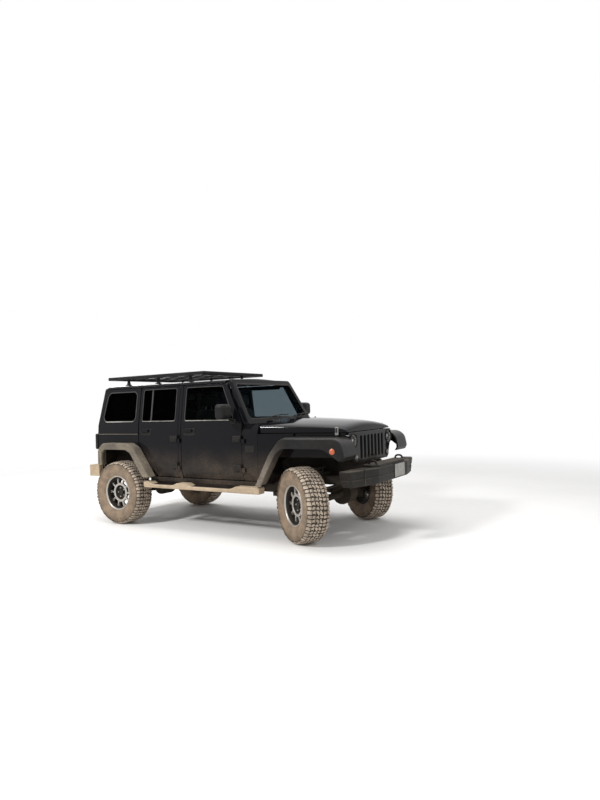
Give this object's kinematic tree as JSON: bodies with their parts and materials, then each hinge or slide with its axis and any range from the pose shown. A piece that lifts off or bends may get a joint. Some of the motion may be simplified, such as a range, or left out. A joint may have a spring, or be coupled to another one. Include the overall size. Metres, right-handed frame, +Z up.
{
  "type": "lifted off-road 4x4",
  "caption": "Lifted off-road 4x4 with opening doors, bonnet and tailgate, steered front wheels, hard top, flat roof rack, wide arch flares, side steps and a rear-mounted spare wheel.",
  "frame": {"origin": "on the ground below the middle of the vehicle's box", "axes": "+X forward, +Y to the vehicle's left, +Z up"},
  "size_m": [4.635, 2.2162, 2.041],
  "materials": {
    "black_paint": "gloss, dusty low down",
    "dark_plastic": "textured, dusty",
    "dusty_plastic": "covered with dry dust",
    "tinted_glass": "dark tint",
    "clear_glass": "clear, faint green",
    "tyre_rubber": "dusty",
    "wheel_alloy": "satin, dusty",
    "chassis_black": "matt, dirty",
    "powder_black": "satin powder coat",
    "seat_fabric": "woven",
    "cabin_plastic": "grained",
    "lamp_lens": "clear lens",
    "red_lens": "gloss"
  },
  "bodies": {
    "root": {"body_tub": "black_paint", "chassis_frame": "chassis_black", "dashboard": "cabin_plastic", "engine_block": "chassis_black", "flare_front_left": "dark_plastic", "flare_front_right": "dark_plastic", "flare_rear_left": "dark_plastic", "flare_rear_right": "dark_plastic", "front_axle": "chassis_black", "front_bumper": "dark_plastic", "grille": "black_paint", "hard_top": "black_paint", "headlamp_left": "lamp_lens", "headlamp_right": "lamp_lens", "quarter_glass_left": "tinted_glass", "quarter_glass_right": "tinted_glass", "rear_axle": "chassis_black", "rear_bumper": "dusty_plastic", "rear_glass": "tinted_glass", "roof_front_panel": "black_paint", "roof_rack": "powder_black", "seat_front_left": "seat_fabric", "seat_front_right": "seat_fabric", "seat_rear": "seat_fabric", "side_step_left": "dusty_plastic", "side_step_right": "dusty_plastic", "sport_bar": "powder_black", "tail_lamp_left": "red_lens", "tail_lamp_right": "red_lens", "windscreen_frame": "black_paint", "windscreen_glass": "clear_glass"},
    "bonnet": {"bonnet": "black_paint"},
    "door_front_left": {"door_front_left": "black_paint", "door_glass_front_left": "tinted_glass"},
    "door_rear_left": {"door_rear_left": "black_paint", "door_glass_rear_left": "tinted_glass"},
    "door_front_right": {"door_front_right": "black_paint", "door_glass_front_right": "tinted_glass"},
    "door_rear_right": {"door_rear_right": "black_paint", "door_glass_rear_right": "tinted_glass"},
    "tailgate": {"tailgate": "black_paint", "tyre_spare": "tyre_rubber", "rim_spare": "wheel_alloy"},
    "knuckle_left": {"knuckle_left": "chassis_black"},
    "knuckle_right": {"knuckle_right": "chassis_black"},
    "tie_rod": {"tie_rod": "chassis_black"},
    "wheel_front_left": {"tyre_front_left": "tyre_rubber", "rim_front_left": "wheel_alloy"},
    "wheel_front_right": {"tyre_front_right": "tyre_rubber", "rim_front_right": "wheel_alloy"},
    "wheel_rear_left": {"tyre_rear_left": "tyre_rubber", "rim_rear_left": "wheel_alloy"},
    "wheel_rear_right": {"tyre_rear_right": "tyre_rubber", "rim_rear_right": "wheel_alloy"}
  },
  "joints": [
    {"name": "door_front_left_hinge", "type": "hinge", "parent": "root", "child": "door_front_left", "pos_m": [0.679, 0.811, 1], "axis": [0, 0, -1], "range_deg": [0, 68]},
    {"name": "door_rear_left_hinge", "type": "hinge", "parent": "root", "child": "door_rear_left", "pos_m": [-0.36122, 0.811, 1], "axis": [0, 0, -1], "range_deg": [0, 68]},
    {"name": "door_front_right_hinge", "type": "hinge", "parent": "root", "child": "door_front_right", "pos_m": [0.679, -0.811, 1], "axis": [0, 0, 1], "range_deg": [0, 68]},
    {"name": "door_rear_right_hinge", "type": "hinge", "parent": "root", "child": "door_rear_right", "pos_m": [-0.36122, -0.811, 1], "axis": [0, 0, 1], "range_deg": [0, 68]},
    {"name": "bonnet_hinge", "type": "hinge", "parent": "root", "child": "bonnet", "pos_m": [0.9147, 0, 1.378], "axis": [0, -1, 0], "range_deg": [0, 50]},
    {"name": "tailgate_hinge", "type": "hinge", "parent": "root", "child": "tailgate", "pos_m": [-1.941, -0.614, 1.1], "axis": [0, 0, 1], "range_deg": [0, 95]},
    {"name": "steer_right", "type": "hinge", "parent": "root", "child": "knuckle_right", "pos_m": [1.555, -0.72, 0.4283], "axis": [0, 0, 1], "range_deg": [0, 64]},
    {"name": "steer_left", "type": "hinge", "parent": "root", "child": "knuckle_left", "pos_m": [1.555, 0.72, 0.4283], "axis": [0, 0, 1], "range_deg": [0, 64]},
    {"name": "tie_rod_pivot", "type": "hinge", "parent": "knuckle_right", "child": "tie_rod", "pos_m": [1.74368, -0.71998, 0.597], "axis": [0, 0, 1], "range_deg": [-74, 1]},
    {"name": "spin_front_left", "type": "hinge", "parent": "knuckle_left", "child": "wheel_front_left", "pos_m": [1.59474, 0.7836, 0.4283], "axis": [0.5299, 0.848, 0], "continuous": true},
    {"name": "spin_rear_left", "type": "hinge", "parent": "root", "child": "wheel_rear_left", "pos_m": [-1.392, 0.795, 0.4283], "axis": [0, 1, 0], "continuous": true},
    {"name": "spin_front_right", "type": "hinge", "parent": "knuckle_right", "child": "wheel_front_right", "pos_m": [1.51526, -0.7836, 0.4283], "axis": [0.5299, 0.848, 0], "continuous": true},
    {"name": "spin_rear_right", "type": "hinge", "parent": "root", "child": "wheel_rear_right", "pos_m": [-1.392, -0.795, 0.4283], "axis": [0, 1, 0], "continuous": true}
  ],
  "couplings": [
    {"joint": "steer_left", "follows": "steer_right", "ratio": 1},
    {"joint": "tie_rod_pivot", "follows": "steer_right", "ratio": -1.15}
  ]
}
